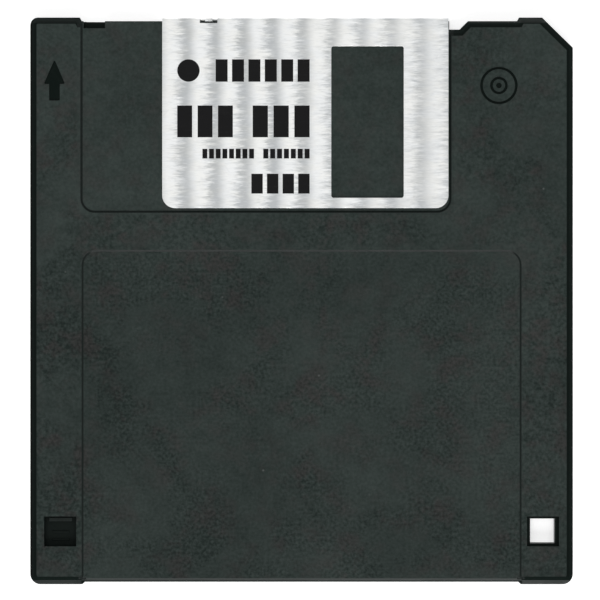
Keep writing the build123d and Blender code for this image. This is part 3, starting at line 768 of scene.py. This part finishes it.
class FLOPPY_OT_spring(bpy.types.Operator):
    """Wind the shutter's torsion spring from round wire"""

    bl_idname = "floppy.spring"
    bl_label = "Wind Shutter Spring"

    def execute(self, context):
        sizes = context.scene.floppy_spring
        wire = self.draw_wire(self.wire_points(sizes), sizes.wire)
        wire.data.materials.append(spring_steel("Spring Steel", sizes))
        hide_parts("shutter_spring")
        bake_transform(wire)
        return {"FINISHED"}

    def wire_points(self, sizes):
        """The middle of the wire: the held arm, the coil and the arm that pushes the shutter."""
        apex, held, moving = Vector(sizes.apex), Vector(sizes.held_end), Vector(sizes.moving_end)
        start = self.tangent(apex, held, sizes.coil, 1)
        end = self.tangent(apex, moving, sizes.coil, -1)
        turned = (end - start) % (2 * pi) + 2 * pi * sizes.turns
        steps = ceil(turned / COIL_STEP)
        points = [held]
        for step in range(steps + 1):
            angle = start + turned * step / steps
            rise = sizes.pitch * turned / (2 * pi) * step / steps
            points.append(apex + Vector((sizes.coil * cos(angle), sizes.coil * sin(angle), rise)))
        for step in range(1, ARM_STEPS + 1):
            points.append(points[-1].lerp(moving, step / ARM_STEPS))
        return points

    def tangent(self, centre, point, radius, turn):
        """The angle on the coil where a straight arm from a point meets it."""
        reach = (point - centre).to_2d()
        return atan2(reach.y, reach.x) + turn * acos(radius / reach.length)

    def draw_wire(self, points, diameter):
        bpy.ops.object.select_all(action="DESELECT")
        bpy.ops.curve.primitive_nurbs_path_add(location=(0, 0, 0))
        wire = bpy.context.object
        wire.name = "shutter_spring_wire"
        wire.data.splines.clear()
        spline = wire.data.splines.new("POLY")
        spline.points.add(len(points) - 1)
        for place, point in zip(spline.points, points):
            place.co = (*point, 1)
        wire.data.bevel_depth = diameter / 2
        wire.data.bevel_resolution = 3
        wire.data.use_fill_caps = True
        bpy.ops.object.convert(target="MESH")
        bpy.ops.object.shade_smooth_by_angle(angle=radians(45))
        return wire


class FLOPPY_OT_studio(bpy.types.Operator):
    """Lay the pale floor and set the camera and the lights"""

    bl_idname = "floppy.studio"
    bl_label = "Set Up Studio"

    def execute(self, context):
        sizes = context.scene.floppy_studio
        self.lay_floor(sizes)
        self.set_camera(context, sizes)
        for name, (place, size, shines) in LAMPS.items():
            self.hang_light(name.title(), place, size, getattr(sizes, name), shines)
        self.light_room(context, sizes)
        context.scene.view_settings.view_transform = "Standard"
        return {"FINISHED"}

    def lay_floor(self, sizes):
        bpy.ops.object.select_all(action="DESELECT")
        bpy.ops.mesh.primitive_grid_add(
            x_subdivisions=2, y_subdivisions=2, size=sizes.floor_size, location=(0, 0, -FLOOR_GAP)
        )
        floor = bpy.context.object
        floor.name = "floor"
        apply_place(floor)
        floor.data.materials.append(studio_white("Studio White", sizes.floor))
        floor.visible_diffuse = False
        floor.visible_shadow = False

    def set_camera(self, context, sizes):
        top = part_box("upper_shell")[1].z
        bpy.ops.object.camera_add(location=(sizes.centre_x, sizes.centre_y, top + sizes.distance))
        camera = bpy.context.object
        camera.rotation_euler = (0, 0, 0)
        camera.data.sensor_width = SENSOR
        camera.data.lens = SENSOR * sizes.distance / sizes.width
        camera.data.clip_start = 0.01
        camera.data.clip_end = 50
        context.scene.camera = camera

    def hang_light(self, name, place, size, power, shines):
        bpy.ops.object.light_add(type="AREA", location=place)
        lamp = bpy.context.object
        lamp.name = name
        lamp.data.shape = "SQUARE"
        lamp.data.size = size
        lamp.data.energy = power
        lamp.visible_glossy = shines
        lamp.rotation_euler = (-Vector(place)).to_track_quat("-Z", "Y").to_euler()

    def light_room(self, context, sizes):
        world = context.scene.world or bpy.data.worlds.new("Room")
        context.scene.world = world
        world.use_nodes = True
        tree = world.node_tree
        tree.nodes.clear()
        rays = tree.nodes.new("ShaderNodeLightPath").outputs
        seen = None
        for name in ("Is Camera Ray", "Is Glossy Ray", "Is Transmission Ray"):
            if seen is None:
                seen = rays[name]
                continue
            most = tree.nodes.new("ShaderNodeMath")
            most.operation = "MAXIMUM"
            tree.links.new(seen, most.inputs[0])
            tree.links.new(rays[name], most.inputs[1])
            seen = most.outputs[0]
        level = tree.nodes.new("ShaderNodeMapRange")
        level.inputs["To Min"].default_value = sizes.room
        level.inputs["To Max"].default_value = 1
        tree.links.new(seen, level.inputs["Value"])
        glow = tree.nodes.new("ShaderNodeBackground")
        glow.inputs["Color"].default_value = (1, 1, 1, 1)
        tree.links.new(level.outputs[0], glow.inputs["Strength"])
        tree.links.new(glow.outputs[0], tree.nodes.new("ShaderNodeOutputWorld").inputs["Surface"])


STEPS = (FLOPPY_OT_case, FLOPPY_OT_shutter, FLOPPY_OT_disc, FLOPPY_OT_spring, FLOPPY_OT_studio)


class VIEW3D_PT_floppy(bpy.types.Panel):
    """The steps that dress the floppy disk, with their sizes and colours"""

    bl_label = "Floppy Disk"
    bl_space_type = "VIEW_3D"
    bl_region_type = "UI"
    bl_category = "Floppy Disk"

    def draw(self, context):
        for step in STEPS:
            self.layout.operator(step.bl_idname)
        for name, group in GROUPS.items():
            box = self.layout.box()
            for key in group.__annotations__:
                box.prop(getattr(context.scene, name), key)


CLASSES = (*GROUPS.values(), *STEPS, VIEW3D_PT_floppy)


def register():
    for item in CLASSES:
        bpy.utils.register_class(item)
    for name, group in GROUPS.items():
        setattr(bpy.types.Scene, name, PointerProperty(type=group))


def unregister():
    for name in GROUPS:
        delattr(bpy.types.Scene, name)
    for item in reversed(CLASSES):
        bpy.utils.unregister_class(item)


def main():
    register()
    bpy.ops.floppy.case()
    bpy.ops.floppy.shutter()
    bpy.ops.floppy.disc()
    bpy.ops.floppy.spring()
    bpy.ops.floppy.studio()


if __name__ == "__main__":
    main()
